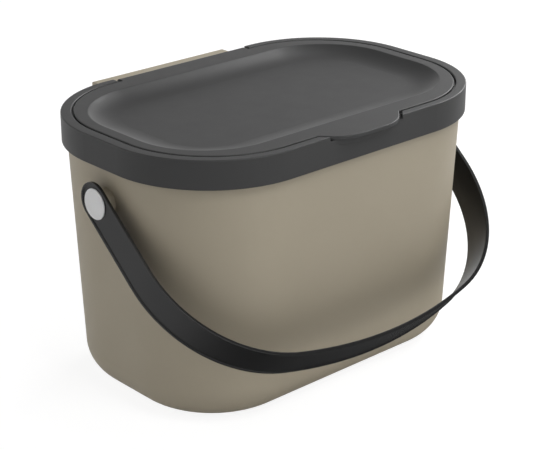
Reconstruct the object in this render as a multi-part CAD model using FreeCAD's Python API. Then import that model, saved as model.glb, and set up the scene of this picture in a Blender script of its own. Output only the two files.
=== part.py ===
import FreeCAD, Part
import math
import os

# A small kitchen waste caddy: tapered bucket, clip-on frame, dished lid and swinging bail.
# Millimetres, +Z up, +Y to the back, origin at the middle of the base.

# Overall size, taken on the frame
rim_length = 270.0
rim_width = 178.8
rim_corner_radius = 72.4
top_height = 179.2

# Bucket
base_length = 248.9
base_width = 155.6
base_corner_radius = 60.1
base_edge_radius = 23.0
bucket_wall = 2.0
bucket_floor = 2.4
cavity_edge_radius = 21.0
brim_clearance = 1.0

# Hanging lip at the back of the bucket
hook_length = 114.0
hook_step = 2.8
hook_plate = 3.0
hook_depth = 15.0
hook_outer_round = 1.2
hook_inner_round = 1.2
hook_tip_round = 1.2
hook_side_gap = 0.6
door_gap = 21.2

# Frame
skirt_height = 18.6
skirt_wall = 2.0
skirt_edge_round = 0.5
border_width = 5.8
border_plate = 2.2
border_outer_round = 0.8
border_inner_round = 0.8
ledge_plate = 2.4
ledge_overhang = 2.8
groove_width = 1.4
clamp_wall = 1.8
clamp_depth = 12.0
clamp_clearance = 0.6
clamp_edge_round = 0.6
front_pad_clearance = 0.4
front_pad_depth = 10.0
scoop_depth = 0.8
scoop_drop = 6.0

# Lid
lid_gap = 1.3
lid_end_setback = 1.4
lid_plate = 2.2
lid_edge_round = 0.6
lid_border = 13.4
dish_end_reach = 4.2
crest_round = 2.0
dish_radius = 40.0
dish_slope = 30.0
lid_rib_gap = 0.5
lid_rib_wall = 1.5
lid_rib_depth = 3.2
tab_root_length = 70.6
tab_overhang = 7.1
tab_bevel = 45.0
tab_corner_round = 28.0
tab_side_gap = 2.0
tab_clearance = 0.5

# Lid hinge
flap_length = 109.2
notch_width = 3.2
barrel_radius = 2.3
barrel_setback = 0.6
hinge_pin_radius = 1.3
hinge_pin_end_round = 0.3
hinge_pin_seat = 6.0
hinge_pin_reach = 8.0
hinge_block_wall = 1.0
running_clearance = 0.05
end_clearance = 0.4

# Bail handle and its pivots
pivot_drop = 21.8
pivot_setback = 1.3
bail_width = 24.5
bail_thickness = 2.4
bail_lip_width = 1.6
bail_lip_height = 0.7
bail_edge_round = 0.6
bail_lip_round = 0.3
bail_rim_clearance = 2.6
bail_leg_length = 53.9
bail_corner_radius = 87.5
bail_corner_turn = 76.2
bail_rest_angle = 40.8
eye_overhang = 1.8
boss_radius = 8.0
boss_flare = 0.8
boss_edge_round = 1.0
boss_gap = 0.4
cap_gap = 0.8
cap_plate = 0.8
cap_dome = 0.3
cap_edge_round = 0.6
cap_lift = 0.2
stem_radius = 5.0
barb_height = 0.7
barb_length = 2.0
barb_gap = 0.2
barb_slot = 1.6

# Every cut runs past the faces that it opens by this much
overrun = 2.0

# Places worked out from the sizes above
half_length = rim_length / 2
half_width = rim_width / 2
straight_half_length = half_length - rim_corner_radius
straight_half_width = half_width - rim_corner_radius
brim_inset = skirt_wall + brim_clearance
seat_height = top_height - lid_plate
brim_height = seat_height - ledge_plate
skirt_bottom = top_height - skirt_height
pivot_height = skirt_bottom - pivot_drop
end_taper = (half_length - brim_inset - base_length / 2) / brim_height
side_taper = (half_width - brim_inset - base_width / 2) / brim_height
clamp_inset = brim_inset + bucket_wall + clamp_clearance + clamp_depth * max(end_taper, side_taper)
ledge_inset = clamp_inset + clamp_wall + ledge_overhang
lid_inset = border_width + lid_gap
tab_reach = lid_inset + tab_overhang
hinge_y = half_width - barrel_setback - barrel_radius
hinge_z = top_height - barrel_radius
hinge_cut_half = flap_length / 2 + notch_width
hook_top = brim_height - hook_step
hook_back = half_width + door_gap + hook_plate
lip_cut_half = hook_length / 2 + hook_side_gap
bail_half_span = half_length + bail_rim_clearance + bail_thickness
boss_face = half_length + bail_rim_clearance - boss_gap

X_AXIS = FreeCAD.Vector(1, 0, 0)
Y_AXIS = FreeCAD.Vector(0, 1, 0)
Z_AXIS = FreeCAD.Vector(0, 0, 1)
ORIGIN = FreeCAD.Vector(0, 0, 0)
PIVOT = FreeCAD.Vector(0, pivot_setback, pivot_height)


def rounded_corner(before, point, after, radius):
    """Start, middle and end of the arc that rounds the corner at point."""
    back = (before - point).normalize()
    onward = (after - point).normalize()
    half_angle = back.getAngle(onward) / 2
    reach = radius / math.tan(half_angle)
    bisector = (back + onward).normalize()
    middle = point + bisector * (radius / math.sin(half_angle) - radius)
    return point + back * reach, middle, point + onward * reach


def arc_edge(points):
    return Part.Arc(*points).toShape()


def outline(corners):
    """Closed wire in the XY plane through (x, y, corner radius) points."""
    points = [FreeCAD.Vector(x, y, 0) for x, y, radius in corners]
    edges = []
    ends = []
    for index, (x, y, radius) in enumerate(corners):
        point = points[index]
        if radius == 0:
            ends.append((point, point))
            continue
        following = points[(index + 1) % len(points)]
        start, middle, end = rounded_corner(points[index - 1], point, following, radius)
        ends.append((start, end))
        edges.append(Part.Arc(start, middle, end).toShape())
    for index, (start, end) in enumerate(ends):
        edges.append(Part.LineSegment(ends[index - 1][1], start).toShape())
    return Part.Wire(Part.__sortEdges__(edges))


def section(corners):
    """Face in the XZ plane through (x, z, corner radius) points."""
    return Part.Face(outline(corners)).rotated(ORIGIN, X_AXIS, 90)


def mirrored_pair(shape, normal):
    return [shape, shape.mirror(ORIGIN, normal)]


def fused(shapes):
    return shapes[0].multiFuse(shapes[1:]).removeSplitter()


def box(low, high):
    """Box between two opposite corners."""
    size = [top - bottom for bottom, top in zip(low, high)]
    return Part.makeBox(*size, FreeCAD.Vector(*low))


def rounded_rectangle(length_half, width_half, radius):
    corners = [(-length_half, -width_half), (length_half, -width_half),
               (length_half, width_half), (-length_half, width_half)]
    return outline([(x, y, radius) for x, y in corners])


def rim_outline(inset, end_shift):
    """The frame's outer outline, drawn in by inset, with its ends moved out by end_shift."""
    return rounded_rectangle(half_length + end_shift - inset, half_width - inset, rim_corner_radius - inset)


def rim_ring(profile, end_shift):
    """Solid ring from a section in (inset, height), with its ends moved out by end_shift."""
    end_face = profile.translated(FreeCAD.Vector(-half_length - end_shift, -straight_half_width, 0))
    centre = FreeCAD.Vector(-straight_half_length - end_shift, -straight_half_width, 0)
    front_face = end_face.rotated(centre, Z_AXIS, 90)
    end_bar = end_face.extrude(Y_AXIS * (2 * straight_half_width))
    front_bar = front_face.extrude(X_AXIS * (2 * (straight_half_length + end_shift)))
    corner = end_face.revolve(centre, Z_AXIS, 90)
    corners = [turned for half in mirrored_pair(corner, X_AXIS) for turned in mirrored_pair(half, Y_AXIS)]
    return fused(mirrored_pair(end_bar, X_AXIS) + mirrored_pair(front_bar, Y_AXIS) + corners)


def bucket_outline(height, inset):
    """Outline of the bucket's wall at a height, drawn in by inset."""
    rise = height / brim_height
    brim_half_length = half_length - brim_inset
    brim_half_width = half_width - brim_inset
    brim_radius = rim_corner_radius - brim_inset
    length_half = base_length / 2 + rise * (brim_half_length - base_length / 2)
    width_half = base_width / 2 + rise * (brim_half_width - base_width / 2)
    radius = base_corner_radius + rise * (brim_radius - base_corner_radius)
    wire = rounded_rectangle(length_half - inset, width_half - inset, radius - inset)
    return wire.translated(Z_AXIS * height)


def tapered_body(bottom, top, inset, edge_radius):
    """Solid between two heights of the bucket's taper, with its bottom edge rounded."""
    body = Part.makeLoft([bucket_outline(bottom, inset), bucket_outline(top, inset)], True, True)
    middle = (bottom + top) / 2
    bottom_edges = [edge for edge in body.Edges if edge.BoundBox.ZMax < middle]
    return body.makeFillet(edge_radius, bottom_edges)


def pivot_boss():
    """Round boss on the right-hand end wall, with its face just short of the bail."""
    inside = base_length / 2 + end_taper * (pivot_height - boss_radius) - bucket_wall
    corners = [(inside, 0, 0), (inside, boss_radius + boss_flare, 0),
               (boss_face, boss_radius, boss_edge_round), (boss_face, 0, 0)]
    turned = section(corners).revolve(ORIGIN, X_AXIS, 360)
    return turned.translated(PIVOT)


def hanging_lip():
    """Lip that goes back from the brim and turns down behind a cupboard door."""
    root = half_width - brim_inset - bucket_wall / 2
    hook_under = hook_top - hook_plate
    tip = hook_top - hook_depth
    inner_face = hook_back - hook_plate
    corners = [(root, hook_under, 0), (root, hook_top, 0), (hook_back, hook_top, hook_outer_round),
               (hook_back, tip, hook_tip_round), (inner_face, tip, hook_tip_round),
               (inner_face, hook_under, hook_inner_round)]
    face = section(corners).rotated(ORIGIN, Z_AXIS, 90)
    lip = face.extrude(X_AXIS * hook_length)
    return lip.translated(X_AXIS * (-hook_length / 2))


def make_bucket():
    shell = tapered_body(0, brim_height, 0, base_edge_radius)
    boss = pivot_boss()
    shell = fused([shell, hanging_lip()] + mirrored_pair(boss, X_AXIS))
    cavity = tapered_body(bucket_floor, brim_height + overrun, bucket_wall, cavity_edge_radius)
    brim_cut = box((-hinge_cut_half, 0, hook_top), (hinge_cut_half, half_width, brim_height + overrun))
    stem_bore = Part.makeCylinder(stem_radius, 2 * (boss_face + overrun),
                                  PIVOT - X_AXIS * (boss_face + overrun), X_AXIS)
    return shell.cut(cavity).cut(brim_cut).cut(stem_bore)


def frame_section():
    """Inverted channel over the brim, with the lid's seat on its inner side."""
    land = skirt_wall + groove_width
    clamp_bottom = brim_height - clamp_depth
    clamp_back = clamp_inset + clamp_wall
    roof = top_height - border_plate
    return section([
        (0, skirt_bottom, skirt_edge_round), (0, top_height, border_outer_round),
        (ledge_inset, top_height, 0), (ledge_inset, brim_height, 0), (clamp_back, brim_height, 0),
        (clamp_back, clamp_bottom, clamp_edge_round), (clamp_inset, clamp_bottom, clamp_edge_round),
        (clamp_inset, brim_height, 0), (land, brim_height, 0), (land, roof, 0),
        (skirt_wall, roof, 0), (skirt_wall, skirt_bottom, skirt_edge_round)])


def lid_recess():
    """Ring cut out of the frame's border down to the lid's seat, with a rounded brink."""
    inner = ledge_inset + lid_end_setback + overrun
    above = top_height + overrun
    foot = FreeCAD.Vector(border_width, seat_height, 0)
    brink = FreeCAD.Vector(border_width, top_height, 0)
    brink_arc = rounded_corner(FreeCAD.Vector(0, top_height, 0), brink, foot, border_inner_round)
    sides = [brink_arc[-1], foot, FreeCAD.Vector(inner, seat_height, 0), FreeCAD.Vector(inner, above, 0),
             FreeCAD.Vector(brink_arc[0].x, above, 0), brink_arc[0]]
    wire = Part.Wire([arc_edge(brink_arc)] + Part.makePolygon(sides).Edges)
    return rim_ring(Part.Face(wire).rotated(ORIGIN, X_AXIS, 90), -lid_end_setback)


def tab_half_length(outward, side_gap):
    """Half length of the finger tab at a distance outward of the lid's edge."""
    slope = math.tan(math.radians(tab_bevel))
    return tab_root_length / 2 - outward / slope + side_gap / math.sin(math.radians(tab_bevel))


def tab_cut():
    """Opening in the frame's border that the finger tab passes through."""
    inner = -(half_width - border_width)
    outer = -(half_width + overrun)
    inner_half = tab_half_length(lid_gap, tab_side_gap)
    outer_half = tab_half_length(lid_inset + overrun, tab_side_gap)
    wire = outline([(-inner_half, inner, 0), (-outer_half, outer, 0),
                    (outer_half, outer, 0), (inner_half, inner, 0)])
    floor = seat_height - tab_clearance
    prism = Part.Face(wire).extrude(Z_AXIS * (top_height - floor + overrun))
    return prism.translated(Z_AXIS * floor)


def finger_scoop():
    """Lens shaped hollow in the skirt below the tab."""
    sag_radius = (scoop_drop ** 2 + scoop_depth ** 2) / (2 * scoop_depth)
    end_half = tab_half_length(lid_inset, tab_side_gap)
    axis_y = -(half_width - scoop_depth + sag_radius)
    end_radius = sag_radius - scoop_depth
    crown = Part.Arc(FreeCAD.Vector(-end_half, end_radius, 0), FreeCAD.Vector(0, sag_radius, 0),
                     FreeCAD.Vector(end_half, end_radius, 0)).toShape()
    foot_points = [FreeCAD.Vector(end_half, end_radius, 0), FreeCAD.Vector(end_half, 0, 0),
                   FreeCAD.Vector(-end_half, 0, 0), FreeCAD.Vector(-end_half, end_radius, 0)]
    wire = Part.Wire([crown] + Part.makePolygon(foot_points).Edges)
    lens = Part.Face(wire).revolve(ORIGIN, X_AXIS, 360)
    return lens.translated(FreeCAD.Vector(0, axis_y, seat_height - tab_clearance))


def front_pad():
    """Thicker skirt behind the scoop, closed on top below the tab."""
    pad_half = tab_half_length(lid_gap, tab_side_gap) + skirt_wall
    pad_face = -(half_width - skirt_wall / 2)
    pad_back = -(half_width - brim_inset + front_pad_clearance)
    floor = seat_height - tab_clearance
    wall = box((-pad_half, pad_face, floor - front_pad_depth), (pad_half, pad_back, floor))
    shelf = box((-pad_half, pad_face, brim_height), (pad_half, -(half_width - border_width), floor))
    return [wall, shelf]


def hinge_block():
    """Solid end of the border that holds the right-hand hinge pin."""
    low = (hinge_cut_half, half_width - border_width + hinge_block_wall, brim_height)
    high = (hinge_cut_half + hinge_pin_seat + hinge_block_wall, half_width - hinge_block_wall,
            top_height - border_plate / 2)
    return box(low, high)


def rear_cuts():
    """Openings at the back for the hanging lip and for the lid's hinge barrel."""
    lip_cut = box((-lip_cut_half, half_width - clamp_inset, skirt_bottom - overrun),
                  (lip_cut_half, half_width + overrun, top_height + overrun))
    barrel_cut = box((-hinge_cut_half, half_width - clamp_inset, hook_top + end_clearance),
                     (hinge_cut_half, half_width + overrun, top_height + overrun))
    return [lip_cut, barrel_cut]


def hinge_pin_bore():
    return Part.makeCylinder(hinge_pin_radius, hinge_pin_seat,
                             FreeCAD.Vector(hinge_cut_half, hinge_y, hinge_z), X_AXIS)


def make_rim_frame():
    ring = fused([rim_ring(frame_section(), 0)] + front_pad() + mirrored_pair(hinge_block(), X_AXIS))
    cuts = [lid_recess(), tab_cut(), finger_scoop()] + rear_cuts()
    for cut in cuts + mirrored_pair(hinge_pin_bore(), X_AXIS):
        ring = ring.cut(cut)
    return ring


def lid_section():
    """Flat border, rounded crest and concave dish wall, from past the lid's edge to the dish floor."""
    slope = math.radians(dish_slope)
    floor_inset = lid_inset + lid_border + dish_radius * math.sin(slope)
    centre_z = top_height + dish_radius * math.cos(slope)
    under_radius = dish_radius + lid_plate
    under_slope = math.acos((centre_z - seat_height) / under_radius)
    crest_reach = dish_radius + crest_round
    crest_slope = math.acos((centre_z - top_height + crest_round) / crest_reach)

    def on_arc(radius, angle):
        return FreeCAD.Vector(floor_inset - radius * math.sin(angle), centre_z - radius * math.cos(angle), 0)

    def on_crest(angle):
        outward = FreeCAD.Vector(math.sin(angle), math.cos(angle), 0)
        return on_arc(crest_reach, crest_slope) + outward * crest_round

    low_edge = FreeCAD.Vector(lid_inset - overrun, seat_height, 0)
    top_edge = FreeCAD.Vector(lid_inset - overrun, top_height, 0)
    crest_arc = [on_crest(0), on_crest(crest_slope / 2), on_crest(crest_slope)]
    dish_arc = [on_crest(crest_slope), on_arc(dish_radius, crest_slope / 2), on_arc(dish_radius, 0)]
    under_arc = [on_arc(under_radius, turn) for turn in (0, under_slope / 2, under_slope)]
    edges = [Part.makeLine(low_edge, top_edge), Part.makeLine(top_edge, crest_arc[0]),
             arc_edge(crest_arc), arc_edge(dish_arc), Part.makeLine(dish_arc[-1], under_arc[0]),
             arc_edge(under_arc), Part.makeLine(under_arc[-1], low_edge)]
    return Part.Face(Part.Wire(edges)).rotated(ORIGIN, X_AXIS, 90), floor_inset


def lid_block(bottom):
    """Block of the lid's outline with a rounded top edge, which trims the dished plate."""
    block = Part.Face(rim_outline(lid_inset, -lid_end_setback)).extrude(Z_AXIS * (top_height - bottom))
    block = block.translated(Z_AXIS * bottom)
    top_edges = [edge for edge in block.Edges if edge.BoundBox.ZMin > seat_height]
    return block.makeFillet(lid_edge_round, top_edges)


def lid_rib():
    """Locating rib under the border, just inside the frame's ledge."""
    outer = ledge_inset + lid_rib_gap
    inner = outer + lid_rib_wall
    bottom = seat_height - lid_rib_depth
    return rim_ring(section([(outer, bottom, 0), (outer, seat_height, 0),
                             (inner, seat_height, 0), (inner, bottom, 0)]), 0)


def finger_tab():
    """Tapered tab that reaches over the frame's front border."""
    root = -(half_width - lid_inset - lid_border / 2)
    edge = -(half_width - lid_inset)
    tip = edge - tab_reach
    root_half = tab_root_length / 2
    tip_half = tab_half_length(tab_reach, 0)
    wire = outline([(-root_half, root, 0), (-root_half, edge, 0), (-tip_half, tip, tab_corner_round),
                    (tip_half, tip, tab_corner_round), (root_half, edge, 0), (root_half, root, 0)])
    tab = Part.Face(wire).extrude(Z_AXIS * lid_plate).translated(Z_AXIS * seat_height)
    top_edges = [edge for edge in tab.Edges if edge.BoundBox.ZMin > seat_height + lid_plate / 2]
    return tab.makeFillet(lid_edge_round, top_edges)


def hinge_flap():
    """Flap over the frame's rear border, ending in the hinge barrel."""
    half = flap_length / 2
    plate = box((-half, half_width - lid_inset - lid_border / 2, seat_height), (half, hinge_y, top_height))
    barrel = Part.makeCylinder(barrel_radius, flap_length, FreeCAD.Vector(-half, hinge_y, hinge_z), X_AXIS)
    return [plate, barrel]


def make_lid():
    profile, floor_inset = lid_section()
    ring = rim_ring(profile, dish_end_reach)
    slope = math.radians(dish_slope)
    floor_under = top_height - dish_radius * (1 - math.cos(slope)) - lid_plate
    floor = Part.Face(rim_outline(floor_inset, dish_end_reach)).extrude(Z_AXIS * lid_plate)
    floor = floor.translated(Z_AXIS * floor_under)
    plate = fused([ring, floor]).common(lid_block(floor_under - overrun))
    lid = fused([plate, lid_rib(), finger_tab()] + hinge_flap())
    bore_depth = hinge_pin_reach + end_clearance
    bore = Part.makeCylinder(hinge_pin_radius + running_clearance, bore_depth,
                             FreeCAD.Vector(flap_length / 2 - bore_depth, hinge_y, hinge_z), X_AXIS)
    for hole in mirrored_pair(bore, X_AXIS):
        lid = lid.cut(hole)
    return lid


def make_hinge_pin():
    """Right-hand hinge pin, from its seat in the frame into the lid's barrel."""
    start = flap_length / 2 - hinge_pin_reach
    end = hinge_cut_half + hinge_pin_seat
    corners = [(start, 0, 0), (start, hinge_pin_radius, hinge_pin_end_round),
               (end, hinge_pin_radius, hinge_pin_end_round), (end, 0, 0)]
    pin = section(corners).revolve(ORIGIN, X_AXIS, 360)
    return pin.translated(FreeCAD.Vector(0, hinge_y, hinge_z))


def bail_section():
    """Channel section of the bail in (depth from the outer face, width)."""
    side = bail_width / 2
    floor_side = side - bail_lip_width
    return section([
        (0, side, bail_lip_round), (bail_thickness, side, bail_edge_round),
        (bail_thickness, -side, bail_edge_round), (0, -side, bail_lip_round),
        (0, -floor_side, bail_lip_round), (bail_lip_height, -floor_side, bail_lip_round),
        (bail_lip_height, floor_side, bail_lip_round), (0, floor_side, bail_lip_round)])


def bail_eye_section():
    """Half of the channel section, which turns about the pivot to close the eye."""
    side = bail_width / 2
    floor_side = side - bail_lip_width
    return section([
        (0, side, bail_lip_round), (bail_thickness, side, bail_edge_round), (bail_thickness, 0, 0),
        (bail_lip_height, 0, 0), (bail_lip_height, floor_side, bail_lip_round),
        (0, floor_side, bail_lip_round)])


def make_bail():
    """Bail drawn level and forward about its pivots, then let down to its rest angle."""
    turn = math.radians(bail_corner_turn)
    eye_centre = Y_AXIS * eye_overhang
    to_eye = eye_centre - X_AXIS * bail_half_span
    leg_face = bail_section().translated(to_eye)
    to_bend = Y_AXIS * -(eye_overhang + bail_leg_length)
    leg = leg_face.extrude(to_bend)
    eye = bail_eye_section().translated(to_eye).revolve(eye_centre, X_AXIS, -180)
    bend_start = leg_face.translated(to_bend)
    bend_centre = FreeCAD.Vector(bail_corner_radius - bail_half_span, -bail_leg_length, 0)
    bend = bend_start.revolve(bend_centre, Z_AXIS, bail_corner_turn)
    bend_end = bend_start.rotated(bend_centre, Z_AXIS, bail_corner_turn)
    arch_centre = FreeCAD.Vector(0, bend_centre.y - bend_centre.x * math.tan(turn), 0)
    arch = bend_end.revolve(arch_centre, Z_AXIS, 180 - 2 * bail_corner_turn)
    halves = [half for piece in (eye, leg, bend) for half in mirrored_pair(piece, X_AXIS)]
    bail = fused(halves + [arch])
    hole = Part.makeCylinder(stem_radius + running_clearance, 2 * (bail_half_span + overrun),
                             X_AXIS * -(bail_half_span + overrun), X_AXIS)
    return bail.cut(hole).rotated(ORIGIN, X_AXIS, bail_rest_angle).translated(PIVOT)


def make_pivot_cap():
    """Right-hand snap rivet: domed head in the bail's eye, stem through the boss, split barb."""
    head_radius = bail_width / 2 - bail_lip_width - cap_gap
    under = bail_half_span - bail_lip_height + cap_lift
    rim = under + cap_plate
    wall_inside = base_length / 2 + end_taper * (pivot_height - stem_radius) - bucket_wall
    barb_back = wall_inside - barb_gap
    barb_end = barb_back - barb_length
    barb_radius = stem_radius + barb_height
    body = section([(barb_end, 0, 0), (barb_end, stem_radius - barb_height, 0), (barb_back, barb_radius, 0),
                    (barb_back, stem_radius, 0), (under, stem_radius, 0), (under, head_radius, 0),
                    (rim, head_radius, cap_edge_round), (rim + cap_dome, 0, 0)])
    cap = body.revolve(ORIGIN, X_AXIS, 360)
    slot = box((barb_end - overrun, -barb_slot / 2, -barb_radius - overrun),
               (barb_back + barb_length, barb_slot / 2, barb_radius + overrun))
    return cap.cut(slot).translated(PIVOT)


def export(node, shape):
    solids = shape.Solids
    print(node, len(solids), "solid", "valid" if shape.isValid() else "INVALID", round(shape.Volume))
    solids[0].exportStep("parts/" + node + ".step")


def main():
    os.makedirs("parts", exist_ok=True)
    hinge_pin = make_hinge_pin()
    pivot_cap = make_pivot_cap()
    export("bucket", make_bucket())
    export("rim_frame", make_rim_frame())
    export("lid", make_lid())
    export("bail_handle", make_bail())
    export("hinge_pin_right", hinge_pin)
    export("hinge_pin_left", hinge_pin.mirror(ORIGIN, X_AXIS))
    export("pivot_cap_right", pivot_cap)
    export("pivot_cap_left", pivot_cap.mirror(ORIGIN, X_AXIS))


main()
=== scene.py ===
import math

import bpy
from mathutils import Matrix, Vector

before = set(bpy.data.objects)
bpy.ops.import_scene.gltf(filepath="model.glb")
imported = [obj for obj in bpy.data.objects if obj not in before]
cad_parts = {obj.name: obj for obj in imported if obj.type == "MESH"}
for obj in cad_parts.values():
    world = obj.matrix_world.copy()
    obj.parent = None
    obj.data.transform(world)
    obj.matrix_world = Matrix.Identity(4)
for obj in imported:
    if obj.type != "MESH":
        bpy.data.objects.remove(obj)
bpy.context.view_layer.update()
scene = bpy.context.scene
scene.view_settings.view_transform = "Standard"

# Camera, as fitted to the photo
CAMERA_AZIMUTH = math.radians(-42.3136)
CAMERA_ELEVATION = math.radians(22.6076)
CAMERA_AIM = Vector((0.00307, -0.00279, 0.08647))
CAMERA_DISTANCE = 1.09601
CAMERA_SENSOR = 36.0
CAMERA_LENS = 107.78
CAMERA_NEAR = 0.01

# Linear colours of the plastics, each with the shade that its slow clouding runs to
BEIGE = (0.445, 0.392, 0.298)
BEIGE_SHADE = (0.435, 0.383, 0.290)
ANTHRACITE = (0.054, 0.054, 0.0542)
ANTHRACITE_SHADE = (0.0515, 0.0515, 0.0517)
BAIL_DARK = (0.013, 0.013, 0.0132)
BAIL_SHADE = (0.012, 0.012, 0.0122)
SILVER = (0.90, 0.90, 0.90)
SILVER_SHADE = (0.87, 0.87, 0.87)

# Each finish: colour, shade, roughness, gloss and share of the full grain height
FINISHES = {
    "beige_moulded": (BEIGE, BEIGE_SHADE, 0.50, 0.40, 1.0),
    "anthracite_moulded": (ANTHRACITE, ANTHRACITE_SHADE, 0.42, 0.28, 1.0),
    "anthracite_bail": (BAIL_DARK, BAIL_SHADE, 0.24, 0.42, 1.0),
    "silver_cap": (SILVER, SILVER_SHADE, 0.38, 0.50, 0.5),
}
NODE_FINISHES = {
    "bucket": "beige_moulded",
    "rim_frame": "anthracite_moulded",
    "lid": "anthracite_moulded",
    "bail_handle": "anthracite_bail",
    "hinge_pin_left": "anthracite_moulded",
    "hinge_pin_right": "anthracite_moulded",
    "pivot_cap_left": "silver_cap",
    "pivot_cap_right": "silver_cap",
}

# Surface noise: scales in cycles per metre, heights in metres, ranges of the noise value
NOISE_ROUGHNESS = 0.55
CLOUD_SCALE = 14
CLOUD_DETAIL = 3
CLOUD_LOW = 0.35
CLOUD_HIGH = 0.65
SCUFF_SCALE = 60
SCUFF_DETAIL = 5
SCUFF_LOW = 0.3
SCUFF_HIGH = 0.7
SCUFF_SPREAD = 0.02
WAVE_SCALE = 110
WAVE_DETAIL = 2
WAVE_HEIGHT = 0.00006
WAVE_STRENGTH = 0.25
GRAIN_SCALE = 2600
GRAIN_DETAIL = 2
GRAIN_HEIGHT = 0.00003
GRAIN_STRENGTH = 0.5
EDGE_RADIUS = 0.0004
EDGE_SAMPLES = 6
PLASTIC_IOR = 1.5

# Sky: strength of the fill, and in reflections from the horizon up to a rise (sine of elevation)
SKY_FILL = 0.06
SKY_HORIZON = 1.6
SKY_TOP = 0.12
SKY_TOP_RISE = 0.37

# Floor: side in metres, shares of light sent back to the bin and to the camera, own glow to the camera
FLOOR_SIZE = 14
FLOOR_BOUNCE = 0.92
FLOOR_SHOWN = 0.24
FLOOR_GLOW = 0.88

# In reflections the floor glows, with a painted shadow: a dim patch in front of the bin under the
# handle
SHADOW_PATCH_CENTRE = Vector((0.02, -0.15, 0))
SHADOW_PATCH_RADIUS = 0.13
SHADOW_PATCH_FADE_RADIUS = 0.27
SHADOW_PATCH_GLOW = 0.09
CLEAR_GLOW = 0.62

# Lamps: name, place, side in metres, power in watts
LAMP_AIM = Vector((0, 0, 0.09))
LAMPS = [
    ("key", Vector((1.55, 0.30, 1.10)), 1.0, 23.2),
    ("front_top", Vector((0.10, -0.90, 1.70)), 1.0, 11.5),
    ("front", Vector((0.20, -1.35, 1.30)), 1.0, 5.2),
    ("left_back", Vector((-1.20, 1.00, 0.60)), 1.0, 4.5),
    ("left", Vector((-1.40, -0.30, 1.10)), 1.0, 2.2),
    ("front_low", Vector((0.10, -1.20, 0.35)), 0.6, 1.3),
]


def link(tree, start, output, end, socket):
    tree.links.new(start.outputs[output], end.inputs[socket])


def noise(tree, coordinates, scale, detail):
    node = tree.nodes.new("ShaderNodeTexNoise")
    node.inputs["Scale"].default_value = scale
    node.inputs["Detail"].default_value = detail
    node.inputs["Roughness"].default_value = NOISE_ROUGHNESS
    link(tree, coordinates, "Object", node, "Vector")
    return node


def map_range(tree, source, low, high, to_low, to_high, output=0):
    node = tree.nodes.new("ShaderNodeMapRange")
    node.inputs["From Min"].default_value = low
    node.inputs["From Max"].default_value = high
    node.inputs["To Min"].default_value = to_low
    node.inputs["To Max"].default_value = to_high
    link(tree, source, output, node, "Value")
    return node


def mix_colours(tree, factor, first, second):
    node = tree.nodes.new("ShaderNodeMix")
    node.data_type = "RGBA"
    node.inputs["A"].default_value = (*first, 1)
    node.inputs["B"].default_value = (*second, 1)
    link(tree, factor, 0, node, "Factor")
    return node


def bump(tree, height, distance, strength, base):
    node = tree.nodes.new("ShaderNodeBump")
    node.inputs["Distance"].default_value = distance
    node.inputs["Strength"].default_value = strength
    link(tree, height, 0, node, "Height")
    link(tree, base, "Normal", node, "Normal")
    return node


def larger(tree, first, first_output, second, second_output):
    node = tree.nodes.new("ShaderNodeMath")
    node.operation = "MAXIMUM"
    link(tree, first, first_output, node, 0)
    link(tree, second, second_output, node, 1)
    return node


def moulded_plastic(name, colour, shade, rough, gloss, grain):
    """Injection moulded plastic: fine spark-eroded grain, slow waviness, uneven sheen."""
    material = bpy.data.materials.new(name)
    material.use_nodes = True
    tree = material.node_tree
    shader = tree.nodes["Principled BSDF"]
    coordinates = tree.nodes.new("ShaderNodeTexCoord")

    cloud = noise(tree, coordinates, CLOUD_SCALE, CLOUD_DETAIL)
    tone = mix_colours(tree, map_range(tree, cloud, CLOUD_LOW, CLOUD_HIGH, 0, 1), colour, shade)
    tree.links.new(tone.outputs["Result"], shader.inputs["Base Color"])

    scuff = noise(tree, coordinates, SCUFF_SCALE, SCUFF_DETAIL)
    sheen = map_range(tree, scuff, SCUFF_LOW, SCUFF_HIGH, rough - SCUFF_SPREAD, rough + SCUFF_SPREAD)
    link(tree, sheen, 0, shader, "Roughness")

    edge = tree.nodes.new("ShaderNodeBevel")
    edge.samples = EDGE_SAMPLES
    edge.inputs["Radius"].default_value = EDGE_RADIUS
    waves = noise(tree, coordinates, WAVE_SCALE, WAVE_DETAIL)
    wavy = bump(tree, waves, WAVE_HEIGHT, WAVE_STRENGTH, edge)
    grains = noise(tree, coordinates, GRAIN_SCALE, GRAIN_DETAIL)
    grained = bump(tree, grains, GRAIN_HEIGHT * grain, GRAIN_STRENGTH, wavy)
    link(tree, grained, "Normal", shader, "Normal")

    shader.inputs["IOR"].default_value = PLASTIC_IOR
    shader.inputs["Specular IOR Level"].default_value = gloss
    return material


def dress_nodes():
    materials = {name: moulded_plastic(name, *finish) for name, finish in FINISHES.items()}
    for name, finish in NODE_FINISHES.items():
        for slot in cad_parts[name].material_slots:
            slot.material = materials[finish]


def add_camera():
    back = Vector((math.sin(CAMERA_AZIMUTH) * math.cos(CAMERA_ELEVATION),
                   -math.cos(CAMERA_AZIMUTH) * math.cos(CAMERA_ELEVATION),
                   math.sin(CAMERA_ELEVATION)))
    right = Vector((math.cos(CAMERA_AZIMUTH), math.sin(CAMERA_AZIMUTH), 0))
    up = back.cross(right)
    data = bpy.data.cameras.new("camera")
    data.sensor_width = CAMERA_SENSOR
    data.lens = CAMERA_LENS
    data.clip_start = CAMERA_NEAR
    camera = bpy.data.objects.new("camera", data)
    turn = Matrix((right, up, back)).transposed().to_4x4()
    camera.matrix_world = Matrix.Translation(CAMERA_AIM + back * CAMERA_DISTANCE) @ turn
    scene.collection.objects.link(camera)
    scene.camera = camera


def add_lamp(name, place, size, power):
    """Soft square lamp that faces the bin."""
    data = bpy.data.lights.new(name, "AREA")
    data.shape = "SQUARE"
    data.size = size
    data.energy = power
    lamp = bpy.data.objects.new(name, data)
    lamp.location = place
    lamp.rotation_euler = (LAMP_AIM - place).to_track_quat("-Z", "Y").to_euler()
    scene.collection.objects.link(lamp)


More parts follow.
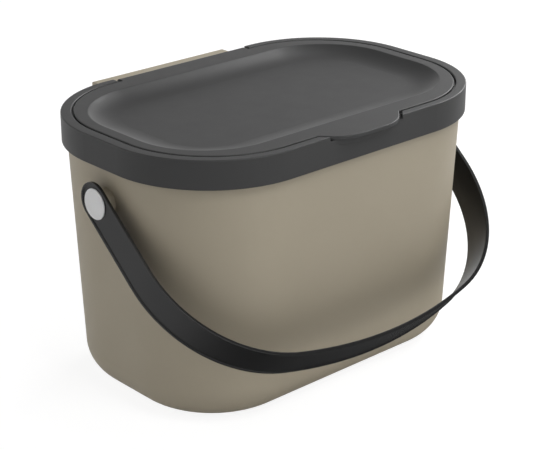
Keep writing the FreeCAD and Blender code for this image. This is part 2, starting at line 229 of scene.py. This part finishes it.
def mirrored_sky(tree):
    """Strength of the sky in reflections: a bright white sweep at the horizon, dim overhead."""
    coordinates = tree.nodes.new("ShaderNodeTexCoord")
    direction = tree.nodes.new("ShaderNodeSeparateXYZ")
    link(tree, coordinates, "Generated", direction, 0)
    return map_range(tree, direction, 0, SKY_TOP_RISE, SKY_HORIZON, SKY_TOP, "Z")


def add_world():
    """White to the camera, a studio in reflections, and a soft fill for the light itself."""
    world = bpy.data.worlds.new("studio")
    world.use_nodes = True
    tree = world.node_tree
    background = tree.nodes["Background"]
    background.inputs["Color"].default_value = (1, 1, 1, 1)
    path = tree.nodes.new("ShaderNodeLightPath")
    mirrored = larger(tree, path, "Is Glossy Ray", path, "Is Transmission Ray")
    seen = larger(tree, mirrored, 0, path, "Is Camera Ray")
    studio = tree.nodes.new("ShaderNodeMix")
    studio.inputs["A"].default_value = SKY_FILL
    link(tree, seen, 0, studio, "Factor")
    link(tree, mirrored_sky(tree), 0, studio, "B")
    strength = larger(tree, studio, 0, path, "Is Camera Ray")
    link(tree, strength, 0, background, "Strength")
    scene.world = world


def diffuse(tree, share):
    node = tree.nodes.new("ShaderNodeBsdfDiffuse")
    node.inputs["Color"].default_value = (share, share, share, 1)
    return node


def choose(tree, ray, other, chosen):
    """Shader that is chosen for one kind of ray and other for the rest."""
    path = tree.nodes.new("ShaderNodeLightPath")
    node = tree.nodes.new("ShaderNodeMixShader")
    link(tree, path, ray, node, 0)
    link(tree, other, 0, node, 1)
    link(tree, chosen, 0, node, 2)
    return node


def mirrored_floor_with_painted_shadow(tree):
    """Even glow, with a painted shadow: a dim patch under the handle."""
    coordinates = tree.nodes.new("ShaderNodeTexCoord")
    reach = tree.nodes.new("ShaderNodeVectorMath")
    reach.operation = "DISTANCE"
    reach.inputs[1].default_value = SHADOW_PATCH_CENTRE
    link(tree, coordinates, "Object", reach, 0)
    # the glow falls off towards the centre: painted shadow in front of the bin
    strength = map_range(tree, reach, SHADOW_PATCH_RADIUS, SHADOW_PATCH_FADE_RADIUS, SHADOW_PATCH_GLOW, CLEAR_GLOW, "Value")
    strength.interpolation_type = "SMOOTHSTEP"
    node = tree.nodes.new("ShaderNodeEmission")
    link(tree, strength, 0, node, "Strength")
    return node


def floor_material():
    """White to the camera, where it keeps the shadow, a glow in reflections with a painted shadow,
    else dull white.
    """
    material = bpy.data.materials.new("floor")
    material.use_nodes = True
    tree = material.node_tree
    tree.nodes.clear()
    glow = tree.nodes.new("ShaderNodeEmission")
    glow.inputs["Strength"].default_value = FLOOR_GLOW
    shown = tree.nodes.new("ShaderNodeAddShader")
    link(tree, diffuse(tree, FLOOR_SHOWN), 0, shown, 0)
    link(tree, glow, 0, shown, 1)
    unseen = choose(tree, "Is Glossy Ray", diffuse(tree, FLOOR_BOUNCE), mirrored_floor_with_painted_shadow(tree))
    output = tree.nodes.new("ShaderNodeOutputMaterial")
    link(tree, choose(tree, "Is Camera Ray", unseen, shown), 0, output, "Surface")
    return material


def add_floor():
    half = FLOOR_SIZE / 2
    corners = [(-half, -half, 0), (half, -half, 0), (half, half, 0), (-half, half, 0)]
    mesh = bpy.data.meshes.new("floor")
    mesh.from_pydata(corners, [], [range(len(corners))])
    mesh.materials.append(floor_material())
    floor = bpy.data.objects.new("floor", mesh)
    scene.collection.objects.link(floor)


dress_nodes()
add_camera()
add_world()
add_floor()
for name, place, size, power in LAMPS:
    add_lamp(name, place, size, power)
